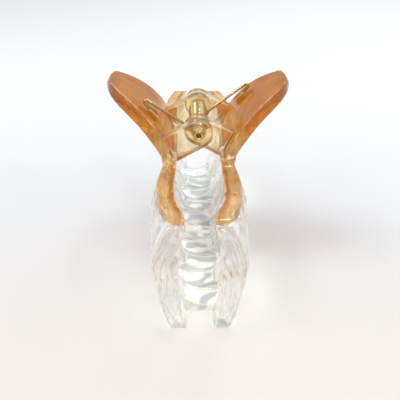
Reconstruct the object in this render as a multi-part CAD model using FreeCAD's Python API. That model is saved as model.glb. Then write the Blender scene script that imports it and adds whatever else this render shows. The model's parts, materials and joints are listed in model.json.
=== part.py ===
"""Claw clip for hair: two moulded jaws on one hinge pin, closed by a torsion spring.

Millimetres. X is across the jaws, Y along the hinge pin and Z up, with the tooth tips on Z = 0.
Each jaw is moulded in two colours: an amber frame (thumb handle, hinge ears, top rim and the strap
between them) and a clear shell (walls and teeth) that is moulded onto it. The two jaws are the same
moulding, so the right one is the left one turned half way round about Z. Heights in the lists below
are counted from the hinge axis.
"""

import FreeCAD, Part
import math
import os

from FreeCAD import Vector

# ---- overall size
LENGTH = 92.0  # along the hinge pin
HINGE_Z = 33.5  # height of the hinge axis above the tooth tips
HALF_LENGTH = LENGTH / 2

# ---- hinge
EAR_R = 3.5
EAR_T = 3.2
EAR_GAP = 0.25  # between the two ears of one pair
EAR_PAIR_IN = 6.85  # inner face of each pair of ears
EAR_PAIR_OUT = EAR_PAIR_IN + 2 * EAR_T + EAR_GAP
EAR_ARM = 9.0  # length of the arm, more than reaches the handle
EAR_TILT = 29.0  # degrees that the ear's arm rises towards the pin
OUTER_LIP = 1.2  # thickness of each outer ear that only the pin's smaller end passes
PIN_R = 1.5
BORE_PLAY = 0.06
PIN_END_R = 1.05
PIN_END_OUT = 0.35  # how far the rolled end stands out of the ear
PIN_HOLLOW_R = 0.62
PIN_HOLLOW_DEPTH = 3.0

# ---- spring
WIRE_R = 0.4
COIL_R = 2.0  # to the middle of the wire
COIL_PITCH = 0.86
COIL_TURNS = 13  # whole turns, with a part turn more between the two legs
LEG_RISE = 36.0  # degrees above level
LEG_LENGTH = 13.9
BEND_R = 0.55  # of the leg's end
BEND_TURN = 170.0  # degrees
HOOK_LENGTH = 2.9  # of the bent end that lies along the handle
COIL_HEIGHT = COIL_PITCH * (COIL_TURNS + 2 * LEG_RISE / 360)

# ---- ribs on the handle that keep the spring's hook in place
SEAT_Y = -6.55
SEAT_PLAY = 0.35  # each side of the wire
SEAT_RIB_T = 0.9
SEAT_RIB_H = 1.1
SEAT_LENGTH = 3.4

# ---- jaw wall: distance out from the middle plane at the waist, along the wings and at the ends
RIM_OUT = (7.5, 9.2, 6.4)
RIM_IN = (5.4, 5.1, 2.7)
BULGE = (8.7, 11.2, 10.4)  # widest place of the outside
LOW_OUT = (8.3, 10.4, 9.6)  # outside, level with the top of the slots
INSIDE = (6.3, 7.4, 4.6)
WAIST_END = 8.0  # along Y, where the waist begins to widen
WING_START = 21.0  # along Y, where the wing has its full width
WING_END = 31.0  # along Y, where the wing begins to close in
SECTION_PLACES = (0.0, 7.0, 14.0, 21.0, 30.0, 37.0, 42.0, HALF_LENGTH)

# ---- top edge of the jaw
TOP_MIDDLE_Z = -5.5  # of the wall before it is trimmed to the side outline
TOP_WING_Z = -7.5
TOP_END_Z = -6.0
END_ROUND_Z = -9.4  # where the rounded end of the top edge meets the end face

# ---- teeth
TOOTH_STEP = 7.9  # from one jaw's tooth to the other jaw's
TOOTH_W = 7.0
END_TOOTH_W = 6.1
INNER_TEETH = 5
TOOTH_ROOT_Z = -23.0  # top of the slots between teeth
TOOTH_REACH = 4.8  # how far an inner tooth passes the middle
TOOTH_T = 2.2  # thickness of an inner tooth at its tip
TIP_OUT = 0.9  # how far the rounded tip stands out

# ---- amber frame
RIM_DEPTH = 1.8  # of the amber rim along the top edge
RIM_END_LIFT = 1.4  # how much higher its lower edge is at the ends
STRAP_EDGE = [  # lower edge of the strap, along Y and up
    (0.0, -20.5), (6.0, -19.0), (10.5, -16.6), (14.0, -13.0),
]

# ---- thumb handle
HANDLE_FACE = [  # inner face of the handle, across X and up
    (-5.6, -7.3), (-7.2, -3.9), (-9.15, -0.2), (-11.55, 3.0), (-13.85, 5.35), (-16.2, 7.3),
    (-18.5, 8.9), (-21.4, 10.8),
]
HANDLE_BACK = [
    (-23.3, 8.8), (-21.2, 6.7), (-19.0, 5.0), (-16.8, 3.3), (-14.6, 1.3), (-12.2, -1.5),
    (-10.3, -4.1), (-8.9, -6.4), (-7.9, -8.6),
]
HANDLE_OUTLINE = [  # half width of the handle against X
    (-23.1, 0.0), (-22.7, 3.0), (-21.5, 5.6), (-19.4, 8.0), (-16.8, 10.0), (-14.0, 11.6),
    (-11.55, 12.7), (-9.15, 13.4),
]
HANDLE_HALF_W = HANDLE_OUTLINE[-1][1]
HANDLE_CROWN = 0.35  # rounding of the handle's edge, out and up

# ---- blanks and cutters
PAST = 40.0  # further than any part of the clip, across X and up
TOP_Z = 20.0  # higher than the handles, from the hinge axis
BLANK_HALF_W = 20.0  # wider than the handle, along Y
INNER_X = -2.0  # nearer to the middle plane than the handle's foot


def between(a, b, share):
    return a + (b - a) * share


def ease(x, x0, x1):
    """0 before x0, 1 after x1 and a smooth step between them."""
    t = min(max((x - x0) / (x1 - x0), 0.0), 1.0)
    return t * t * (3 - 2 * t)


def across(x, z, y=0.0):
    """A point of a cross-section, with z counted from the hinge axis."""
    return Vector(x, y, z + HINGE_Z)


def smooth(points):
    """One smooth edge through points."""
    curve = Part.BSplineCurve()
    curve.interpolate(points)
    return curve.toShape()


def mirrored(points):
    """The same line on the other side of Y = 0, so that it runs on from the first one."""
    return [(-y, z) for y, z in reversed(points)]


def turned_round(shape):
    """The same moulding as the other jaw."""
    other = shape.copy()
    other.rotate(Vector(0, 0, 0), Vector(0, 0, 1), 180)
    return other


# ------------------------------------------------------------------ wall
def wall_section(y):
    """Closed wire round the left wall at one place along the clip."""
    widened = ease(abs(y), WAIST_END, WING_START)
    end = ease(abs(y), WING_END, HALF_LENGTH)

    def out(sizes):
        return -between(between(sizes[0], sizes[1], widened), sizes[2], end)

    top = between(TOP_MIDDLE_Z, TOP_END_Z, end)
    rim_out, rim_in, bulge, inside = out(RIM_OUT), out(RIM_IN), out(BULGE), out(INSIDE)
    outer = [
        (rim_out, top), (between(rim_out, bulge, 0.62), -10.6), (bulge, -15.5), (out(LOW_OUT), -22.0),
        (between(-7.4, -8.4, end), -28.5), (between(-4.6, -6.5, end), -HINGE_Z),
    ]
    inner = [
        (between(-2.4, -2.9, end), -HINGE_Z), (between(-4.7, -4.2, end), -28.0), (inside, -22.0),
        (inside - 0.1, -16.5), (between(rim_in, inside, 0.7), -11.5), (rim_in, top),
    ]
    outer = [across(x, z, y) for x, z in outer]
    inner = [across(x, z, y) for x, z in inner]
    foot = Part.makeLine(outer[-1], inner[0])
    head = Part.makeLine(inner[-1], outer[0])
    return Part.Wire([smooth(outer), foot, smooth(inner), head])


def wall():
    """The whole left wall, teeth not cut yet and the top not trimmed."""
    places = [-y for y in reversed(SECTION_PLACES)] + list(SECTION_PLACES[1:])
    return Part.makeLoft([wall_section(y) for y in places], True, False)


def seen_from_side(lines):
    """What lies inside a side outline, right through the left jaw; each line is one smooth edge."""
    edges = []
    for line in lines:
        points = [across(-PAST, z, y) for y, z in line]
        edges.append(Part.makeLine(*points) if len(points) == 2 else smooth(points))
    return Part.Face(Part.Wire(edges)).extrude(Vector(2 * PAST, 0, 0))


def side_outline():
    """What the jaw keeps, seen from the side: wings, rounded ends and the handle's foot."""
    foot = (HANDLE_HALF_W, 1.0)
    fillet = [foot, (HANDLE_HALF_W + 0.3, -2.6), (15.4, -5.9), (19.5, TOP_WING_Z)]
    rim = [fillet[-1], (31.0, TOP_WING_Z), (38.5, -6.9), (43.0, -6.8), (HALF_LENGTH, END_ROUND_Z)]
    low = -HINGE_Z - 1
    bottom = [(HALF_LENGTH, low), (-HALF_LENGTH, low)]
    top = [(-HANDLE_HALF_W, TOP_Z), (HANDLE_HALF_W, TOP_Z)]
    return seen_from_side([
        fillet, rim, [rim[-1], bottom[0]], bottom, [bottom[1], (-HALF_LENGTH, END_ROUND_Z)],
        mirrored(rim), mirrored(fillet), [(-HANDLE_HALF_W, foot[1]), top[0]], top, [top[1], foot],
    ])


# ------------------------------------------------------------------ teeth
def tooth_centres():
    """The left jaw's inner teeth along Y."""
    first = -(INNER_TEETH - 0.5) * TOOTH_STEP
    return [first + 2 * TOOTH_STEP * i for i in range(INNER_TEETH)]


def tooth_slots():
    """What is cut away between the left jaw's teeth, rounded at the root."""
    edges = [-HALF_LENGTH + END_TOOTH_W]
    for y in tooth_centres():
        edges += [y - TOOTH_W / 2, y + TOOTH_W / 2]
    edges.append(HALF_LENGTH - END_TOOTH_W)
    slots = []
    for y0, y1 in zip(edges[::2], edges[1::2]):
        r = (y1 - y0) / 2
        top = TOOTH_ROOT_Z + HINGE_Z - r
        box = Part.makeBox(PAST, y1 - y0, top + r, Vector(-PAST, y0, -r))
        arch = Part.makeCylinder(r, PAST, Vector(-PAST, (y0 + y1) / 2, top), Vector(1, 0, 0))
        slots.append(box.fuse(arch))
    return slots


def inner_tooth(y):
    """An inner tooth's curved end, which reaches past the middle under the hair."""
    y0 = y - TOOTH_W / 2
    tip_z = -HINGE_Z + TOOTH_T
    upper = [(-7.3, -22.8), (-6.2, -27.0), (-3.6, -30.0), (TOOTH_REACH, tip_z)]
    lower = [(-2.5, -HINGE_Z), (-6.9, -29.6), (-9.3, -23.4)]
    upper = [across(x, z, y0) for x, z in upper]
    lower = [across(x, z, y0) for x, z in lower]
    under_tip = across(TOOTH_REACH, -HINGE_Z, y0)
    tip_middle = across(TOOTH_REACH + TIP_OUT, tip_z - TOOTH_T / 2, y0)
    edges = [
        smooth(upper), Part.Arc(upper[-1], tip_middle, under_tip).toShape(),
        Part.makeLine(under_tip, lower[0]), smooth(lower), Part.makeLine(lower[-1], upper[0]),
    ]
    return Part.Face(Part.Wire(edges)).extrude(Vector(0, TOOTH_W, 0))


# ------------------------------------------------------------------ handle
def handle():
    """Thumb handle: a curved paddle with a tongue outline."""
    face = [across(x, z, -BLANK_HALF_W) for x, z in HANDLE_FACE]
    back = [across(x, z, -BLANK_HALF_W) for x, z in HANDLE_BACK]
    crown = (face[-1] + back[0]) * 0.5 + Vector(-HANDLE_CROWN, 0, HANDLE_CROWN)
    tip = Part.Arc(face[-1], crown, back[0]).toShape()
    section = Part.Wire([smooth(face), tip, smooth(back), Part.makeLine(back[-1], face[0])])
    slab = Part.Face(section).extrude(Vector(0, 2 * BLANK_HALF_W, 0))
    tongue = [(x, -w) for x, w in reversed(HANDLE_OUTLINE)] + HANDLE_OUTLINE[1:]
    tongue = [Vector(x, y, 0) for x, y in tongue]
    base_x = HANDLE_OUTLINE[-1][0]
    corners = [tongue[-1]]
    for x, side in ((base_x, 1), (INNER_X, 1), (INNER_X, -1), (base_x, -1)):
        corners.append(Vector(x, side * BLANK_HALF_W, 0))
    corners.append(tongue[0])
    rest = [Part.makeLine(a, b) for a, b in zip(corners, corners[1:])]
    outline = Part.Face(Part.Wire([smooth(tongue)] + rest))
    return slab.common(outline.extrude(Vector(0, 0, HINGE_Z + TOP_Z)))


def spring_seat():
    """Two short ribs on the handle's inner face, one each side of the spring's hook."""
    (x0, z0), (x1, z1) = HANDLE_FACE[3], HANDLE_FACE[4]
    slope = math.degrees(math.atan2(z1 - z0, x0 - x1))
    ribs = []
    for side in (-1, 1):
        y_mid = SEAT_Y + side * (WIRE_R + SEAT_PLAY + SEAT_RIB_T / 2)
        corner = across(x0 - SEAT_LENGTH / 2, z0 - SEAT_RIB_H, y_mid - SEAT_RIB_T / 2)
        rib = Part.makeBox(SEAT_LENGTH, SEAT_RIB_T, 2 * SEAT_RIB_H, corner)
        rib.rotate(across(x0, z0), Vector(0, 1, 0), slope)
        ribs.append(rib)
    return ribs


# ------------------------------------------------------------------ hinge
def ear(y0):
    """One hinge ear, an eye on a short arm, without its bore."""
    eye = Part.makeCylinder(EAR_R, EAR_T, across(0, 0, y0), Vector(0, 1, 0))
    arm = Part.makeBox(EAR_ARM, EAR_T, 2 * EAR_R, across(-EAR_ARM, -EAR_R, y0))
    arm.rotate(across(0, 0), Vector(0, 1, 0), -EAR_TILT)
    return eye.fuse(arm)


def left_ear_starts():
    """Where the left jaw's two ears begin along Y; the right jaw has the same, turned round."""
    return (-EAR_PAIR_OUT, EAR_PAIR_IN)


def behind_handle():
    """Everything outside the handle's and wall's inner face, to trim the ears' arms."""
    face = list(reversed(HANDLE_FACE[:4]))
    low = -12.0
    corners = face + [(HANDLE_FACE[0][0], low), (-PAST, low), (-PAST, face[0][1]), face[0]]
    wire = Part.makePolygon([across(x, z, -BLANK_HALF_W) for x, z in corners])
    return Part.Face(wire).extrude(Vector(0, 2 * BLANK_HALF_W, 0))


def rod(radius, half):
    """A cylinder on the hinge axis, as long on both sides of Y = 0."""
    return Part.makeCylinder(radius, 2 * half, across(0, 0, -half), Vector(0, 1, 0))


def pin_space(play):
    """The pin's shoulder between the outer ears and its smaller ends, made larger by play."""
    shoulder = rod(PIN_R + play, EAR_PAIR_OUT - OUTER_LIP + play / 2)
    return shoulder.fuse(rod(PIN_END_R + play, EAR_PAIR_OUT + PIN_END_OUT))


def hinge_pin():
    """Pin with a shoulder held between the outer ears and smaller, hollow ends that show in them."""
    pin = pin_space(0)
    end = EAR_PAIR_OUT + PIN_END_OUT
    for y in (-end, end - PIN_HOLLOW_DEPTH):
        hollow = Part.makeCylinder(PIN_HOLLOW_R, PIN_HOLLOW_DEPTH, across(0, 0, y), Vector(0, 1, 0))
        pin = pin.cut(hollow)
    return pin


# ------------------------------------------------------------------ spring
def left_leg():
    """Edges from the free end of the left leg to the coil: hook, bend and straight leg."""
    rise = math.radians(LEG_RISE)
    start = 1.5 * math.pi - rise
    foot = across(COIL_R * math.cos(start), COIL_R * math.sin(start), -COIL_HEIGHT / 2)
    slope = COIL_PITCH / (2 * math.pi * COIL_R)
    out = Vector(-math.cos(rise), -slope, math.sin(rise)).normalize()
    aside = Vector(0, 1, 0).cross(out)
    aside = (aside if aside.z < 0 else aside * -1).normalize()
    elbow = foot + out * LEG_LENGTH
    centre = elbow + aside * BEND_R

    def on_bend(degrees):
        a = math.radians(degrees)
        return centre + (out * math.sin(a) - aside * math.cos(a)) * BEND_R

    turn = math.radians(BEND_TURN)
    along = out * math.cos(turn) + aside * math.sin(turn)
    inner = on_bend(BEND_TURN)
    bend = Part.Arc(inner, on_bend(BEND_TURN / 2), elbow).toShape()
    return [Part.makeLine(inner + along * HOOK_LENGTH, inner), bend, Part.makeLine(elbow, foot)]


def coil():
    """The coil's helix, which turns from the left leg to the right one."""
    helix = Part.makeLongHelix(COIL_PITCH, COIL_HEIGHT, COIL_R, 0, True)
    helix.rotate(Vector(0, 0, 0), Vector(1, 0, 0), -90)
    helix.rotate(Vector(0, 0, 0), Vector(0, 1, 0), LEG_RISE - 270)
    helix.translate(across(0, 0, -COIL_HEIGHT / 2))
    return helix.Edges


def torsion_spring():
    """Close-wound torsion spring with a bent leg for each handle."""
    leg = left_leg()
    path = Part.Wire(leg + coil() + [turned_round(edge) for edge in reversed(leg)])
    start, after = [vertex.Point for vertex in leg[0].Vertexes]
    ring = Part.Wire([Part.makeCircle(WIRE_R, start, after - start)])
    return path.makePipeShell([ring], True, False)


# ------------------------------------------------------------------ jaws
def left_jaw():
    """The left jaw in one piece, both colours together."""
    outline = side_outline()
    body = wall().common(outline)
    for slot in tooth_slots():
        body = body.cut(slot)
    body = body.fuse(handle().common(outline))
    limit = behind_handle()
    added = [inner_tooth(y) for y in tooth_centres()]
    added += [ear(y0).cut(limit) for y0 in left_ear_starts()]
    added += spring_seat()
    for piece in added:
        body = body.fuse(piece)
    return body.cut(pin_space(BORE_PLAY))


def amber_space():
    """The space that the amber frame takes: all above a line under the rim, and the strap."""
    end = HALF_LENGTH + 2
    rim_z = TOP_WING_Z - RIM_DEPTH
    end_z = rim_z + RIM_END_LIFT
    rim = [STRAP_EDGE[-1], (18.5, rim_z - 0.7), (24.0, rim_z), (33.0, rim_z + 0.2)]
    rim += [(40.0, end_z - 0.2), (end, end_z)]
    strap = mirrored(STRAP_EDGE)[:-1] + STRAP_EDGE
    top = [(end, TOP_Z), (-end, TOP_Z)]
    return seen_from_side([
        mirrored(rim), strap, rim, [rim[-1], top[0]], top, [top[1], (-end, end_z)],
    ])


def main():
    os.makedirs("parts", exist_ok=True)
    jaw = left_jaw()
    space = amber_space()
    frame = jaw.common(space)
    shell = jaw.cut(space)
    pieces = {
        "left_frame": frame,
        "left_shell": shell,
        "right_frame": turned_round(frame),
        "right_shell": turned_round(shell),
        "hinge_pin": hinge_pin(),
        "torsion_spring": torsion_spring(),
    }
    for name, shape in pieces.items():
        facts = (len(shape.Solids), shape.isValid(), round(shape.Volume, 1))
        print(name, "solids %d, valid %s, volume %.1f" % facts, shape.BoundBox)
        shape.exportStep(f"parts/{name}.step")


main()
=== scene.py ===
"""Claw clip: amber and clear moulded jaws, brass pin and gold spring, on a pale studio floor.

Metres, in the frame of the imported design: X across the jaws, Y along the hinge pin and Z up.
A pair of numbers for ease() gives where a change begins and where it is complete.
"""

import json
import math

import bmesh
import bpy
import numpy as np
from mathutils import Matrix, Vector, noise


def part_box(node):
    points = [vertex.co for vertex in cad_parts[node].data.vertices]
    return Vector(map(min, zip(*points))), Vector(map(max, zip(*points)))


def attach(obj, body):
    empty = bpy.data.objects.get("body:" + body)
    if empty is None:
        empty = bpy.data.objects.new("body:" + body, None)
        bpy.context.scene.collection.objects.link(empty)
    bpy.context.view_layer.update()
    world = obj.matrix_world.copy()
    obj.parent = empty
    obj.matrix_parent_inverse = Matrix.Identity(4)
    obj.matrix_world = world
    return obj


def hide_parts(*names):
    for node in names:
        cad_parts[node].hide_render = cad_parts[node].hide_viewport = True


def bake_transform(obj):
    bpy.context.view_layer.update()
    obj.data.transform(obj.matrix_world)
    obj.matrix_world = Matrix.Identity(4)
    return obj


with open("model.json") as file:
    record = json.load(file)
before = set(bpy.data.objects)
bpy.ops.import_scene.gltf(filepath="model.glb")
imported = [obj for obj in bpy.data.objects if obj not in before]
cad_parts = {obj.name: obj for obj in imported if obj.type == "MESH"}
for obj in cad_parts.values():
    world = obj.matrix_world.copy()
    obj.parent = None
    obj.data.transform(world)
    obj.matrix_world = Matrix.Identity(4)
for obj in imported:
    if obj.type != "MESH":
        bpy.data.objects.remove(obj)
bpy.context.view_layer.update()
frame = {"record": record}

MM = 0.001

# ---- from the design
JOINT = frame["record"]["behaviour"]["joints"][0]
HINGE = Vector(JOINT["pos_m"])
HALF_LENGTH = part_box("left_shell")[1][1]
TOP_EDGE_Z = HINGE.z - 7.5 * MM  # straight part of the wings' top edge
TOOTH_STEP = 7.9 * MM
END_WALL_X = 4.55 * MM  # middle of the wall's top at the ends
END_WALL_HALF_T = 1.85 * MM
WING_END = 31 * MM  # along Y, where the wings begin to close in
RIM_DEPTH = 1.8 * MM
RIM_END_LIFT = 1.4 * MM  # how much higher the rim's lower edge is at the ends
RIM_IN = 5.1 * MM  # inner edge of the rim along the wings, out from the middle plane
RIM_IN_CLOSES = 2.4 * MM  # how far it comes in towards the ends
RIM_OUT = 9.2 * MM
RIM_OUT_CLOSES = 2.8 * MM

# ---- camera
CAMERA_PLACE = (-0.0015, -0.1728, 0.0956)
CAMERA_PITCH = math.radians(26.57)  # below level
CAMERA_YAW = math.radians(0.66)
SENSOR_MM = 36.0
LENS_MM = 63.0
CLIP_NEAR = 0.01
CLIP_FAR = 20.0

# ---- light: a ramp is a list of places from 0 to 1, each with its colour
ROOM_STRENGTH = 0.60
ROOM_BY_HEIGHT = [
    (0.0, (0.90, 0.90, 0.91)), (0.12, (0.78, 0.78, 0.78)), (0.3, (0.90, 0.91, 0.92)),
    (0.55, (1.0, 1.0, 1.02)), (1.0, (1.05, 1.05, 1.06)),
]
ROOM_BY_DEPTH = [(0.06, (0.50, 0.50, 0.50)), (0.3, (0.9, 0.9, 0.9)), (0.5, (1, 1, 1))]  # from -Y
LAMP_TARGET = (0, 0, 0.02)
KEY_POWER = 0.9  # scales the three lamps of LAMPS
LAMPS = [  # name, place, diameter, watts and colour
    ("key", (-0.90, 0.08, 1.55), 0.75, 9.3 * KEY_POWER, (1.0, 0.99, 0.97)),
    ("rear_strip", (0.16, 0.34, 0.30), 0.22, 0.4 * KEY_POWER, (1.0, 0.98, 0.95)),
    ("front_fill", (0.08, -0.42, 0.46), 0.16, 0.55 * KEY_POWER, (1, 1, 1)),
]
GLINTS = [  # small lamps that leave highlights on the plastic
    (-0.16, -0.22, 0.26), (0.20, -0.18, 0.24), (0.03, 0.02, 0.36), (-0.22, 0.14, 0.16),
    (0.26, 0.10, 0.12),
]
GLINT_SIZE = 0.03
GLINT_POWER = 0.07
CLEAR_BOUNCES = 40  # enough for light that is reflected inside the plastic many times
DIFFUSE_BOUNCES = 8

# ---- floor
FLOOR_HALF = 3.0
FLOOR_RAMP_SCALE = 2.0  # ramp places per metre along Y
FLOOR_RAMP_START = 0.35  # ramp place at Y = 0
# painted light: the floor's colour along Y, warm at the front, cooler by the clip and brighter
# further along +Y
FLOOR_PAINTED_LIGHT_BY_DEPTH = [
    (0.16, (0.85, 0.785, 0.745)), (0.27, (0.82, 0.80, 0.78)), (0.37, (0.78, 0.805, 0.835)),
    (0.60, (0.87, 0.89, 0.92)),
]
FLOOR_ROUGHNESS = 0.85
FLOOR_SPECULAR = 0.1

# ---- plastic colours
RIM_AMBER = (1.0, 0.51, 0.15)
STRIPE_AMBER = (0.66, 0.19, 0.004)
EAR_PEACH = (1.0, 0.88, 0.62)
CARAMEL = (0.93, 0.35, 0.004)
PALM = (0.80, 0.31, 0.010)
# painted shade colour for the amber's outward faces and its creases
PAINTED_SHADE_AMBER = (0.38, 0.12, 0.003)
# painted highlight colour for the amber's ridges
PAINTED_HIGHLIGHT_PEACH = (1.0, 0.82, 0.55)
CLEAR = (1.0, 1.0, 0.993)
SHADED_CLEAR = (0.90, 0.90, 0.87)
# painted highlight colour for the clear plastic's ridges
PAINTED_HIGHLIGHT_CLEAR = (0.94, 0.87, 0.72)
SWIRLS = [(0.38, (0.80, 0.68, 0.50)), (0.60, (1.0, 1.0, 1.0))]
# painted shade: how far outward faces of the amber go towards the shade colour
OUTER_SHADE_SHARE = 0.6
# painted shade: how far creases in the amber go towards the shade colour
CREASE_SHADE_SHARE = 0.7
# painted highlight: how far ridges of the amber go towards the highlight colour
RIDGE_HIGHLIGHT_SHARE = 0.8
CLEAR_RIDGE_HIGHLIGHT_SHARE = 0.6  # painted highlight on clear ridges

# ---- plastic gloss and light
SEE_THROUGH = 0.80  # in clear plastic, and below what each kind of place adds
SEE_THROUGH_ADDS = {"deep": -0.10, "amber": 0.02, "ear": 0.15, "stripe": -0.22}
# less transmission along ridges, so that their painted highlight shows
CLEAR_RIDGE_ADDS = -0.2
RIDGE_ADDS = -0.38
PLASTIC_IOR = 1.38
COAT_WEIGHT = 0.15
COAT_ROUGHNESS = 0.03
LOWEST_ROUGHNESS = 0.02
UNEVEN_GLOSS = 0.07
PALM_ROUGHNESS = 0.12
CLEAR_PASS = 0.98  # share of a lamp's light that passes straight through each clear wall
AMBER_PASS = 0.15
PASS_TINT = (0.90, 0.93, 0.91)
PASS_TINT_SHARE = 0.85

# ---- line between amber and clear
RIM_LIFTS_Y = (28 * MM, 40 * MM)
RIM_CURL = 0.5 * MM  # how far the line rises at both sides of an end face
END_FACE_Y = (42 * MM, 45 * MM)
STRAP_Z = HINGE.z - 21.0 * MM  # lowest part of the strap
STRAP_SIDE_Y = (5 * MM, 19 * MM)
LINE_BLEND = 0.15 * MM  # half width of the change of colour
STRAP_BLEND = 2.2 * MM  # how much wider it is under the strap
STRAP_BLEND_Y = (12 * MM, 20 * MM)
INNER_BLUSH = 0.6  # share of amber in the inner face, down to BLUSH_DEPTH under the rim
BLUSH_DEPTH = 4.5 * MM
BLUSH_FULL = 0.78  # share of that depth above which the blush is full
SEAM_DEPTH = 0.14 * MM
SEAM_HALF_W = 0.4 * MM
SEAM_Y = (16 * MM, 22 * MM)

# ---- other places on a jaw
HANDLE_Z = (HINGE.z - 7.0 * MM, HINGE.z + 2.0 * MM)
HANDLE_X = (7.0 * MM, 10.0 * MM)
EAR_Z = (HINGE.z - 6.5 * MM, HINGE.z - 4.5 * MM)
EAR_X = (-7.5 * MM, -5.5 * MM)  # minus the distance out from the middle plane
STRIPE_FROM_Y = (12 * MM, 17 * MM)
STRIPE_TO_Y = (40 * MM, 45 * MM)
STRIPE_IN = (0.10, 0.22)  # share of the rim's width, from its inner edge
STRIPE_OUT = (0.40, 0.56)
FACES_OUT = (0.15, 0.6)  # part of the normal that points that way
FACES_IN = (0.5, 0.9)
FACES_END = (0.5, 0.9)
# outward faces that get painted shade
OUTER_SHADE_FACES = (0.35, 0.85)
FACES_PALM = (0.3, 1.1)

# ---- relief of the clear plastic
OUTER_WALL_X = (5.5 * MM, 8.0 * MM)
RIB_HEIGHT = 0.28 * MM  # of the scallops that follow the teeth on the outside
RIB_END_FADE = 3 * MM
CRACKLE_HEIGHT = 0.17 * MM
CRACKLE_SCALE = 460
CRACKLE_EDGE = 2.2  # how steeply each cell rises from its edge
GRAIN_SHARE = 0.5
GRAIN_SCALE = 700
WAVE_HEIGHT = 0.012 * MM
WAVE_SCALE = 260
FAN_CENTRE = Vector((3.4 * MM, 0.0, HINGE.z - 24.0 * MM))
FAN_STEP = 1.5 * MM  # from one arch to the next
FAN_STRETCH = 2.4  # height of each arch over its half width
FAN_HEIGHT = 0.2 * MM
FAN_WOBBLE = 0.3 * MM
FAN_WOBBLE_SCALE = 160
FAN_Z = (HINGE.z - 28 * MM, HINGE.z - 23 * MM)
FAN_Y = (40 * MM, 43 * MM)

# ---- jaw mesh
VOXEL = 0.32 * MM
SMOOTH_STEPS = 2
BEND_SPREAD = 2  # times that the bend is evened out over neighbours
RIDGE_BEND = 0.05  # where ridges begin, and the further bend that makes a full one
RIDGE_SPAN = 0.12
CREASE_BEND = 0.03
CREASE_SPAN = 0.10

# ---- pin
PIN_R = 1.5 * MM
PIN_END_R = 1.05 * MM
PIN_HOLLOW_R = 0.62 * MM
PIN_LIP = 0.2 * MM  # height of the rolled lip
PIN_SHOULDER_IN = 1.55 * MM  # from the pin's end to its shoulder
PIN_CHAMFER = 0.2 * MM
PIN_NECK = 0.05 * MM  # how far the shoulder's face slopes, from its chamfer to the small end
PIN_HOLLOW = [(0.0, 2.8 * MM), (0.8, 2.7 * MM), (1.0, 2.4 * MM)]  # share of its radius, depth
PIN_SEGMENTS = 48
PIN_LIP_STEPS = 8

# ---- spring
WIRE_R = 0.4 * MM
COIL_R = 2.0 * MM
COIL_PITCH = 0.86 * MM
COIL_TURNS = 13
COIL_STEPS = 40 * COIL_TURNS
LEG_RISE = math.radians(36.0)
LEG_LENGTH = 13.9 * MM
LEG_STEPS = 12
BEND_R = 0.55 * MM
BEND_TURN = math.radians(170.0)
BEND_STEPS = 12
HOOK_LENGTH = 2.9 * MM
HOOK_PLACES = (1.0, 0.66, 0.33)
WIRE_SEGMENTS = 14
WIRE_END_SHARE = 0.8  # radius of the cut ends

# ---- metal: name, pale colour, dark colour, roughness and scale of the mottling
PIN_METAL = ("pale_brass", (0.86, 0.69, 0.39), (0.58, 0.42, 0.20), 0.16, 900.0)
WIRE_METAL = ("gold_wire", (0.80, 0.62, 0.33), (0.50, 0.35, 0.15), 0.16, 1500.0)
METAL_UNEVEN = 0.12  # how much the roughness changes with the mottling


def ease(x, x0, x1):
    """0 before x0, 1 after x1 and a smooth step between them."""
    t = min(max((x - x0) / (x1 - x0), 0.0), 1.0)
    return t * t * (3 - 2 * t)


# ------------------------------------------------------------------ node helpers
def node(tree, kind, **inputs):
    """A node with its inputs set by name."""
    made = tree.nodes.new(kind)
    for key, value in inputs.items():
        made.inputs[key.replace("_", " ")].default_value = value
    return made


def coordinates(tree, kind):
    return tree.nodes.new("ShaderNodeTexCoord").outputs[kind]


def noise_texture(tree, **inputs):
    """Noise that stays with the object as it moves."""
    made = node(tree, "ShaderNodeTexNoise", **inputs)
    tree.links.new(coordinates(tree, "Object"), made.inputs["Vector"])
    return made.outputs["Fac"]


def part_of(tree, vector, axis):
    split = tree.nodes.new("ShaderNodeSeparateXYZ")
    tree.links.new(vector, split.inputs[0])
    return split.outputs[axis]


def ramp(tree, stops, fac):
    made = tree.nodes.new("ShaderNodeValToRGB")
    elements = made.color_ramp.elements
    while len(elements) < len(stops):
        elements.new(0.5)
    for element, (place, colour) in zip(elements, stops):
        element.position = place
        element.color = (*colour, 1)
    tree.links.new(fac, made.inputs["Fac"])
    return made.outputs["Color"]


def math_node(tree, operation, a, b, c=None, clamp=False):
    """A Math node; each input is a number or another node's output."""
    made = tree.nodes.new("ShaderNodeMath")
    made.operation = operation
    made.use_clamp = clamp
    for socket, value in zip(made.inputs, (a, b, c)):
        if value is None:
            continue
        if isinstance(value, (int, float)):
            socket.default_value = value
        else:
            tree.links.new(value, socket)
    return made.outputs[0]


def mix_colour(tree, share, a, b, blend="MIX"):
    """Colour a changed towards b by a share; each is a value or another node's output."""
    made = tree.nodes.new("ShaderNodeMix")
    made.data_type = "RGBA"
    made.blend_type = blend
    for socket, value in ((made.inputs[0], share), (made.inputs[6], a), (made.inputs[7], b)):
        if isinstance(value, tuple):
            socket.default_value = (*value, 1)
        elif isinstance(value, (int, float)):
            socket.default_value = value
        else:
            tree.links.new(value, socket)
    return made.outputs[2]


def new_material(name):
    """A material with its node tree and its Principled shader."""
    material = bpy.data.materials.new(name)
    material.use_nodes = True
    tree = material.node_tree
    return material, tree, tree.nodes["Principled BSDF"]


def add_bump(tree, shader, height, strength, distance):
    bump = node(tree, "ShaderNodeBump", Strength=strength, Distance=distance)
    tree.links.new(height, bump.inputs["Height"])
    tree.links.new(bump.outputs["Normal"], shader.inputs["Normal"])


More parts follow.
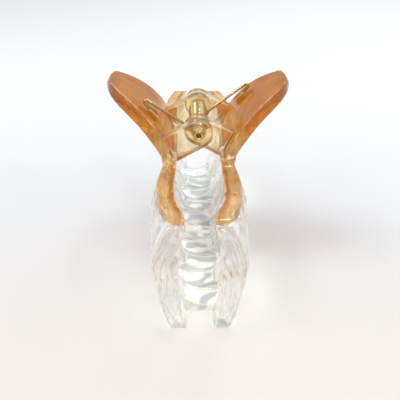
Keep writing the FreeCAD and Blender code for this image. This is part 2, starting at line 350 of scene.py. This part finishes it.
# ------------------------------------------------------------------ camera, light and floor
def camera():
    """Looks along the hinge pin from the near end, from above."""
    level = math.cos(CAMERA_PITCH)
    forward = Vector((
        math.sin(CAMERA_YAW) * level, math.cos(CAMERA_YAW) * level, -math.sin(CAMERA_PITCH),
    ))
    data = bpy.data.cameras.new("camera")
    data.sensor_width = SENSOR_MM
    data.lens = LENS_MM
    data.clip_start = CLIP_NEAR
    data.clip_end = CLIP_FAR
    data.dof.use_dof = False
    cam = bpy.data.objects.new("camera", data)
    cam.location = Vector(CAMERA_PLACE)
    cam.rotation_euler = forward.to_track_quat("-Z", "Y").to_euler()
    bpy.context.scene.collection.objects.link(cam)
    bpy.context.scene.camera = cam


def area_light(name, place, size, power, colour=(1, 1, 1)):
    """A round lamp that points at the clip."""
    data = bpy.data.lights.new(name, "AREA")
    data.shape = "DISK"
    data.size = size
    data.energy = power
    data.color = colour
    lamp = bpy.data.objects.new(name, data)
    lamp.location = place
    lamp.rotation_euler = (Vector(LAMP_TARGET) - Vector(place)).to_track_quat("-Z", "Y").to_euler()
    bpy.context.scene.collection.objects.link(lamp)


def studio():
    """A bright room that is darker on the -Y side, with a soft key and smaller lamps."""
    scene = bpy.context.scene
    scene.view_settings.view_transform = "Standard"
    world = bpy.data.worlds.new("room")
    scene.world = world
    world.use_nodes = True
    tree = world.node_tree
    background = tree.nodes["Background"]
    direction = coordinates(tree, "Generated")
    height = ramp(tree, ROOM_BY_HEIGHT, part_of(tree, direction, "Z"))
    depth = math_node(tree, "MULTIPLY_ADD", part_of(tree, direction, "Y"), 0.5, 0.5, clamp=True)
    dim = ramp(tree, ROOM_BY_DEPTH, depth)
    tree.links.new(mix_colour(tree, 1.0, height, dim, "MULTIPLY"), background.inputs["Color"])
    background.inputs["Strength"].default_value = ROOM_STRENGTH
    for lamp in LAMPS:
        area_light(*lamp)
    for k, place in enumerate(GLINTS):
        area_light(f"glint_{k}", place, GLINT_SIZE, GLINT_POWER)
    for kind in ("max_bounces", "transmission_bounces", "glossy_bounces", "transparent_max_bounces"):
        setattr(scene.cycles, kind, CLEAR_BOUNCES)
    scene.cycles.diffuse_bounces = DIFFUSE_BOUNCES


def floor():
    """A pale paper floor with painted light along Y: warm at the front, cooler by the clip and
    brighter further along +Y.
    """
    mesh = bpy.data.meshes.new("studio_floor")
    half = FLOOR_HALF
    corners = [(-half, -half, 0), (half, -half, 0), (half, half, 0), (-half, half, 0)]
    mesh.from_pydata(corners, [], [(0, 1, 2, 3)])
    plane = bpy.data.objects.new("studio_floor", mesh)
    bpy.context.scene.collection.objects.link(plane)
    material, tree, shader = new_material("floor_paper")
    along = part_of(tree, coordinates(tree, "Object"), "Y")
    depth = math_node(tree, "MULTIPLY_ADD", along, FLOOR_RAMP_SCALE, FLOOR_RAMP_START, clamp=True)
    tree.links.new(ramp(tree, FLOOR_PAINTED_LIGHT_BY_DEPTH, depth), shader.inputs["Base Color"])
    shader.inputs["Roughness"].default_value = FLOOR_ROUGHNESS
    shader.inputs["Specular IOR Level"].default_value = FLOOR_SPECULAR
    mesh.materials.append(material)


# ------------------------------------------------------------------ mesh helpers
def new_object(name, mesh, body=None):
    """A smooth-shaded object that rides on a body if one is given."""
    made = bpy.data.objects.new(name, mesh)
    bpy.context.scene.collection.objects.link(made)
    for polygon in mesh.polygons:
        polygon.use_smooth = True
    if body:
        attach(made, body)
    return made


def finished_mesh(name, shape):
    """The mesh of a bmesh, with its normals outwards."""
    bmesh.ops.recalc_face_normals(shape, faces=shape.faces)
    mesh = bpy.data.meshes.new(name)
    shape.to_mesh(mesh)
    shape.free()
    return mesh


def joined(nodes):
    """One mesh that holds copies of the CAD nodes' meshes."""
    whole = bmesh.new()
    for name in nodes:
        whole.from_mesh(bpy.data.objects[name].data)
    mesh = bpy.data.meshes.new("joined")
    whole.to_mesh(mesh)
    whole.free()
    return mesh


def remeshed(name, nodes):
    """CAD nodes as one even mesh that lies on their surface, with slightly softened edges."""
    sharp = bpy.data.objects.new("sharp", joined(nodes))
    rough = bpy.data.objects.new("rough", sharp.data)
    for made in (sharp, rough):
        bpy.context.scene.collection.objects.link(made)
    remesh = rough.modifiers.new("remesh", "REMESH")
    remesh.mode = "VOXEL"
    remesh.voxel_size = VOXEL
    settle = rough.modifiers.new("settle", "SHRINKWRAP")
    settle.target = sharp
    smooth = rough.modifiers.new("smooth", "SMOOTH")
    smooth.factor = 0.5
    smooth.iterations = SMOOTH_STEPS
    graph = bpy.context.evaluated_depsgraph_get()
    graph.update()
    mesh = bpy.data.meshes.new_from_object(rough.evaluated_get(graph))
    mesh.name = name
    for made in (sharp, rough):
        bpy.data.objects.remove(made)
    return mesh


# ------------------------------------------------------------------ jaws
def rim_line(p):
    """Height of the line between amber and clear; it rounds off over each end face."""
    away = abs(p.y)
    rim = TOP_EDGE_Z - RIM_DEPTH + RIM_END_LIFT * ease(away, *RIM_LIFTS_Y)
    aside = (abs(p.x) - END_WALL_X) / END_WALL_HALF_T
    rim += RIM_CURL * aside ** 2 * ease(away, *END_FACE_Y)
    return STRAP_Z + (rim - STRAP_Z) * ease(away, *STRAP_SIDE_Y)


def amber_share(p, n, sign):
    """1 in the amber plastic and 0 in the clear; the two run into each other under the strap."""
    line = rim_line(p)
    width = LINE_BLEND + STRAP_BLEND * (1 - ease(abs(p.y), *STRAP_BLEND_Y))
    inside = ease(-n.x * sign, *FACES_IN)
    inside *= ease(p.z, line - BLUSH_DEPTH, line - BLUSH_FULL * BLUSH_DEPTH)
    return max(ease(p.z, line - width, line + width), INNER_BLUSH * inside)


def handle_share(p, sign):
    """1 in the thick, deep amber of the handle and 0 in the paler ears and rim."""
    return ease(p.z, *HANDLE_Z) * ease(p.x * sign, *HANDLE_X)


def stripe_share(p):
    """1 in the deeper stripe along the inner side of the rim."""
    end = ease(abs(p.y), WING_END, HALF_LENGTH)
    rim_in = RIM_IN - RIM_IN_CLOSES * end
    rim_out = RIM_OUT - RIM_OUT_CLOSES * end
    share = (abs(p.x) - rim_in) / (rim_out - rim_in)
    along = ease(abs(p.y), *STRIPE_FROM_Y) * (1 - ease(abs(p.y), *STRIPE_TO_Y))
    return ease(share, *STRIPE_IN) * (1 - ease(share, *STRIPE_OUT)) * along


def ear_share(p):
    """1 in the hinge ears, which are thin and let much light through."""
    return ease(p.z, *EAR_Z) * ease(-abs(p.x), *EAR_X)


def palm_share(n, sign):
    """1 on faces that look up and towards the middle, as the handle's inner face does."""
    return ease(n.z - n.x * sign, *FACES_PALM)


def fan(p, n):
    """Flow lines on an end face, arched under the rim's blunt end: -1 to 1, and 0 elsewhere."""
    up = (p.z - FAN_CENTRE.z) / FAN_STRETCH
    from_centre = math.hypot(abs(p.x) - FAN_CENTRE.x, up)
    from_centre += FAN_WOBBLE * noise.noise(p * FAN_WOBBLE_SCALE)
    where = ease(p.z, *FAN_Z) * ease(abs(n.y), *FACES_END) * ease(abs(p.y), *FAN_Y)
    return math.cos(2 * math.pi * from_centre / FAN_STEP) * where


def surface_relief(p, n, sign, amber):
    """How far the moulded surface stands out from the smooth one at a point."""
    clear = 1 - amber
    outside = ease(n.x * sign, *FACES_OUT) * clear * ease(abs(p.x), *OUTER_WALL_X)
    rib = math.cos(2 * math.pi * p.y / TOOTH_STEP)
    rib *= ease(HALF_LENGTH - abs(p.y), 0, RIB_END_FADE)
    cells = noise.voronoi(p * CRACKLE_SCALE)[0]
    crackle = min((cells[1] - cells[0]) * CRACKLE_EDGE, 1.0) - 0.5
    crackle += GRAIN_SHARE * noise.noise(p * GRAIN_SCALE)
    relief = outside * (RIB_HEIGHT * rib + CRACKLE_HEIGHT * crackle)
    relief += FAN_HEIGHT * fan(p, n) * clear
    seam = 1 - min(abs(p.z - rim_line(p)) / SEAM_HALF_W, 1.0)
    relief -= SEAM_DEPTH * seam * ease(abs(p.y), *SEAM_Y)
    return relief + clear * (1 - outside) * WAVE_HEIGHT * noise.noise(p * WAVE_SCALE)


def bending(mesh):
    """How sharply the surface bends at each vertex: above 0 on ridges and below 0 in creases."""
    count = len(mesh.vertices)
    place = np.empty(count * 3)
    normal = np.empty(count * 3)
    pairs = np.empty(len(mesh.edges) * 2, dtype=np.int32)
    mesh.vertices.foreach_get("co", place)
    mesh.vertices.foreach_get("normal", normal)
    mesh.edges.foreach_get("vertices", pairs)
    place, normal, pairs = place.reshape(-1, 3), normal.reshape(-1, 3), pairs.reshape(-1, 2)
    ends = np.concatenate((pairs[:, 0], pairs[:, 1]))
    others = np.concatenate((pairs[:, 1], pairs[:, 0]))
    number = np.maximum(np.bincount(ends, minlength=count), 1)

    def mean_round(values):
        return np.bincount(ends, weights=values[others], minlength=count) / number

    step = np.stack([mean_round(place[:, k]) - place[:, k] for k in range(3)], axis=1)
    bend = -(step * normal).sum(axis=1) / VOXEL
    for _ in range(BEND_SPREAD):
        bend = 0.5 * bend + 0.5 * mean_round(bend)
    return bend


def jaw_moulding(side, nodes, body):
    """One jaw as a single two-colour moulding with a crackled, scalloped clear wall."""
    mesh = remeshed(f"{side}_jaw_moulding", nodes)
    sign = -1 if side == "left" else 1
    vertices = mesh.vertices
    amber = [amber_share(vertex.co, vertex.normal, sign) for vertex in vertices]
    moves = [
        vertex.normal * surface_relief(vertex.co, vertex.normal, sign, share)
        for vertex, share in zip(vertices, amber)
    ]
    for vertex, move in zip(vertices, moves):
        vertex.co += move
        vertex.co.z = max(vertex.co.z, 0.0)
    mesh.update()
    bend = bending(mesh)
    for name, values in (
        ("amber", amber),
        ("deep", [handle_share(vertex.co, sign) for vertex in vertices]),
        ("ear", [ear_share(vertex.co) for vertex in vertices]),
        ("stripe", [stripe_share(vertex.co) for vertex in vertices]),
        # painted shade on outward faces and in creases, painted highlight along ridges
        ("outer_face_shade", [ease(vertex.normal.x * sign, *OUTER_SHADE_FACES) for vertex in vertices]),
        ("palm", [palm_share(vertex.normal, sign) for vertex in vertices]),
        ("ridge_highlight", np.clip((bend - RIDGE_BEND) / RIDGE_SPAN, 0, 1)),
        ("crease_shade", np.clip((-bend - CREASE_BEND) / CREASE_SPAN, 0, 1)),
    ):
        mesh.attributes.new(name, "FLOAT", "POINT").data.foreach_set("value", values)
    piece = new_object(f"{side}_jaw_moulding", mesh, body)
    mesh.materials.clear()
    mesh.materials.append(plastic())
    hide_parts(*nodes)


def attribute(tree, name):
    """One of the jaw mesh's own values."""
    made = tree.nodes.new("ShaderNodeAttribute")
    made.attribute_name = name
    return made.outputs["Fac"]


def plastic_colour(tree, mesh_value, palm, flow):
    """Clear glass colour and amber that is deeper in handles and stripes, with painted shade on
    outward faces and in creases and painted highlights on ridges.
    """
    warm = mix_colour(tree, mesh_value["deep"], RIM_AMBER, CARAMEL)
    warm = mix_colour(tree, mesh_value["stripe"], warm, STRIPE_AMBER)
    warm = mix_colour(tree, mesh_value["ear"], warm, EAR_PEACH)
    warm = mix_colour(tree, palm, warm, PALM)
    # painted shade on outward faces and in creases, and painted highlight on ridges
    for name, share, colour in (
        ("outer_face_shade", OUTER_SHADE_SHARE, PAINTED_SHADE_AMBER),
        ("crease_shade", CREASE_SHADE_SHARE, PAINTED_SHADE_AMBER),
        ("ridge_highlight", RIDGE_HIGHLIGHT_SHARE, PAINTED_HIGHLIGHT_PEACH),
    ):
        warm = mix_colour(tree, math_node(tree, "MULTIPLY", mesh_value[name], share), warm, colour)
    warm = mix_colour(tree, 1.0, warm, ramp(tree, SWIRLS, flow), "MULTIPLY")
    # painted shade in the clear plastic's creases and painted highlight on its ridges
    glass = mix_colour(tree, mesh_value["crease_shade"], CLEAR, SHADED_CLEAR)
    highlight_share = math_node(tree, "MULTIPLY", mesh_value["ridge_highlight"], CLEAR_RIDGE_HIGHLIGHT_SHARE)
    glass = mix_colour(tree, highlight_share, glass, PAINTED_HIGHLIGHT_CLEAR)
    return mix_colour(tree, mesh_value["amber"], glass, warm)


def plastic_see_through(tree, mesh_value):
    """Transmission: less in thick handles and stripes, less along ridges so that their painted
    highlight shows, and more in the ears.
    """
    share = SEE_THROUGH
    for name, adds in SEE_THROUGH_ADDS.items():
        share = math_node(tree, "MULTIPLY_ADD", mesh_value[name], adds, share)
    clear = math_node(tree, "SUBTRACT", 1.0, mesh_value["amber"])
    clear_ridge = math_node(tree, "MULTIPLY", mesh_value["ridge_highlight"], clear)
    share = math_node(tree, "MULTIPLY_ADD", clear_ridge, CLEAR_RIDGE_ADDS, share)
    return math_node(tree, "MULTIPLY_ADD", mesh_value["ridge_highlight"], RIDGE_ADDS, share, clamp=True)


def let_lamps_through(tree, shader, colour, amber):
    """Lets part of the lamps' light through, tinted, so that the plastic's shadows stay pale."""
    clear = tree.nodes.new("ShaderNodeBsdfTransparent")
    tint = mix_colour(tree, PASS_TINT_SHARE, colour, PASS_TINT)
    tree.links.new(tint, clear.inputs["Color"])
    share = math_node(tree, "MULTIPLY_ADD", amber, AMBER_PASS - CLEAR_PASS, CLEAR_PASS)
    is_shadow = tree.nodes.new("ShaderNodeLightPath").outputs["Is Shadow Ray"]
    both = tree.nodes.new("ShaderNodeMixShader")
    tree.links.new(math_node(tree, "MULTIPLY", is_shadow, share), both.inputs["Fac"])
    tree.links.new(shader.outputs["BSDF"], both.inputs[1])
    tree.links.new(clear.outputs["BSDF"], both.inputs[2])
    tree.links.new(both.outputs["Shader"], tree.nodes["Material Output"].inputs["Surface"])


def plastic():
    """Glossy see-through plastic: caramel handles, paler rims and ears, and clear walls."""
    name = "moulded_plastic"
    if name in bpy.data.materials:
        return bpy.data.materials[name]
    material, tree, shader = new_material(name)
    names = ("amber", "deep", "ear", "stripe", "outer_face_shade", "palm", "ridge_highlight", "crease_shade")
    mesh_value = {value: attribute(tree, value) for value in names}
    palm = math_node(tree, "MULTIPLY", mesh_value["palm"], mesh_value["deep"])
    flow = noise_texture(tree, Scale=110.0, Detail=3.0, Roughness=0.55, Distortion=1.2)
    colour = plastic_colour(tree, mesh_value, palm, flow)
    tree.links.new(colour, shader.inputs["Base Color"])
    tree.links.new(plastic_see_through(tree, mesh_value), shader.inputs["Transmission Weight"])
    fine = noise_texture(tree, Scale=900.0, Detail=2.0)
    gloss = math_node(tree, "MULTIPLY_ADD", fine, UNEVEN_GLOSS, LOWEST_ROUGHNESS)
    gloss = math_node(tree, "MULTIPLY_ADD", palm, PALM_ROUGHNESS, gloss)
    tree.links.new(gloss, shader.inputs["Roughness"])
    add_bump(tree, shader, flow, strength=0.25, distance=0.15 * MM)
    shader.inputs["IOR"].default_value = PLASTIC_IOR
    shader.inputs["Coat Weight"].default_value = COAT_WEIGHT
    shader.inputs["Coat Roughness"].default_value = COAT_ROUGHNESS
    let_lamps_through(tree, shader, colour, mesh_value["amber"])
    return material


# ------------------------------------------------------------------ metal pieces
def metal(name, pale, dark, roughness, scale):
    """Polished metal with a faintly mottled colour and slightly uneven gloss."""
    material, tree, shader = new_material(name)
    mottle = noise_texture(tree, Scale=scale, Detail=4.0)
    tree.links.new(mix_colour(tree, mottle, dark, pale), shader.inputs["Base Color"])
    lowest = roughness - METAL_UNEVEN / 2
    gloss = math_node(tree, "MULTIPLY_ADD", mottle, METAL_UNEVEN, lowest)
    tree.links.new(gloss, shader.inputs["Roughness"])
    shader.inputs["Metallic"].default_value = 1.0
    add_bump(tree, shader, mottle, strength=0.15, distance=0.03 * MM)
    return material


def pin_profile():
    """Radius and place along Y, from the bottom of one hollow end to that of the other."""
    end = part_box("hinge_pin")[1][1]
    shoulder = end - PIN_SHOULDER_IN
    middle = (PIN_END_R + PIN_HOLLOW_R) / 2
    half = (PIN_END_R - PIN_HOLLOW_R) / 2
    profile = [(PIN_HOLLOW_R * share, end - depth) for share, depth in PIN_HOLLOW]
    profile.append((PIN_HOLLOW_R, end - PIN_LIP))
    for k in range(1, PIN_LIP_STEPS):
        a = math.pi * k / PIN_LIP_STEPS
        profile.append((middle - half * math.cos(a), end - PIN_LIP + PIN_LIP * math.sin(a)))
    profile += [(PIN_END_R, end - PIN_LIP), (PIN_END_R, shoulder + PIN_NECK)]
    profile += [(PIN_R - PIN_CHAMFER, shoulder), (PIN_R, shoulder - PIN_CHAMFER)]
    return profile + [(radius, -y) for radius, y in reversed(profile)]


def hinge_pin():
    """Turned pin: a chamfered shoulder and two smaller ends with rolled, hollow lips."""
    turned = bmesh.new()
    rings = []
    for radius, y in pin_profile():
        if radius == 0.0:
            rings.append([turned.verts.new((0, y, HINGE.z))])
            continue
        angles = (2 * math.pi * k / PIN_SEGMENTS for k in range(PIN_SEGMENTS))
        rings.append([
            turned.verts.new((radius * math.cos(a), y, HINGE.z + radius * math.sin(a)))
            for a in angles
        ])
    for a, b in zip(rings, rings[1:]):
        for k in range(PIN_SEGMENTS):
            k2 = (k + 1) % PIN_SEGMENTS
            if len(a) == 1:
                turned.faces.new((a[0], b[k], b[k2]))
            elif len(b) == 1:
                turned.faces.new((a[k], b[0], a[k2]))
            else:
                turned.faces.new((a[k], b[k], b[k2], a[k2]))
    mesh = finished_mesh("turned_pin", turned)
    piece = new_object("turned_pin", mesh, "left_jaw")
    mesh.materials.append(metal(*PIN_METAL))
    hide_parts("hinge_pin")


def spring_route():
    """Middle of the wire from the left hook through the coil to the right hook."""
    height = COIL_PITCH * (COIL_TURNS + LEG_RISE / math.pi)
    start = 1.5 * math.pi - LEG_RISE
    foot = Vector((COIL_R * math.cos(start), -height / 2, COIL_R * math.sin(start) + HINGE.z))
    slope = COIL_PITCH / (2 * math.pi * COIL_R)
    out = Vector((-math.cos(LEG_RISE), -slope, math.sin(LEG_RISE))).normalized()
    aside = Vector((0, 1, 0)).cross(out).normalized()
    if aside.z > 0:
        aside = -aside
    elbow = foot + out * LEG_LENGTH
    centre = elbow + aside * BEND_R
    along = out * math.cos(BEND_TURN) + aside * math.sin(BEND_TURN)
    bend = []
    for k in range(BEND_STEPS + 1):
        a = BEND_TURN * (1 - k / BEND_STEPS)
        bend.append(centre + (out * math.sin(a) - aside * math.cos(a)) * BEND_R)
    hook = [bend[0] + along * HOOK_LENGTH * share for share in HOOK_PLACES]
    straight = [elbow + (foot - elbow) * k / LEG_STEPS for k in range(1, LEG_STEPS)]
    leg = hook + bend + straight
    turned = 2 * math.pi * COIL_TURNS + 2 * LEG_RISE
    coil = []
    for k in range(COIL_STEPS + 1):
        a = start + turned * k / COIL_STEPS
        y = -height / 2 + height * k / COIL_STEPS
        coil.append(Vector((COIL_R * math.cos(a), y, COIL_R * math.sin(a) + HINGE.z)))
    return leg + coil + [Vector((-p.x, -p.y, p.z)) for p in reversed(leg)], height


def torsion_spring():
    """Round wire along the spring's route; the coil sits between the two jaws."""
    route, height = spring_route()
    tube = bmesh.new()
    rings = []
    side = Vector((0, 1, 0))
    last = len(route) - 1
    for k, p in enumerate(route):
        ahead = route[min(k + 1, last)] - route[max(k - 1, 0)]
        ahead.normalize()
        side = (side - ahead * side.dot(ahead)).normalized()
        other = ahead.cross(side)
        share = WIRE_END_SHARE if k in (0, last) else 1.0
        rings.append([
            tube.verts.new(p + (side * math.cos(a) + other * math.sin(a)) * WIRE_R * share)
            for a in (2 * math.pi * j / WIRE_SEGMENTS for j in range(WIRE_SEGMENTS))
        ])
    for a, b in zip(rings, rings[1:]):
        for j in range(WIRE_SEGMENTS):
            j2 = (j + 1) % WIRE_SEGMENTS
            tube.faces.new((a[j], a[j2], b[j2], b[j]))
    tube.faces.new(list(reversed(rings[0])))
    tube.faces.new(rings[-1])
    mesh = finished_mesh("spring_wire", tube)
    piece = new_object("spring_wire", mesh)
    mesh.materials.append(metal(*WIRE_METAL))
    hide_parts("torsion_spring")
    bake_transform(piece)


camera()
studio()
floor()
jaw_moulding("left", ("left_frame", "left_shell"), "left_jaw")
jaw_moulding("right", ("right_frame", "right_shell"), "right_jaw")
hinge_pin()
torsion_spring()
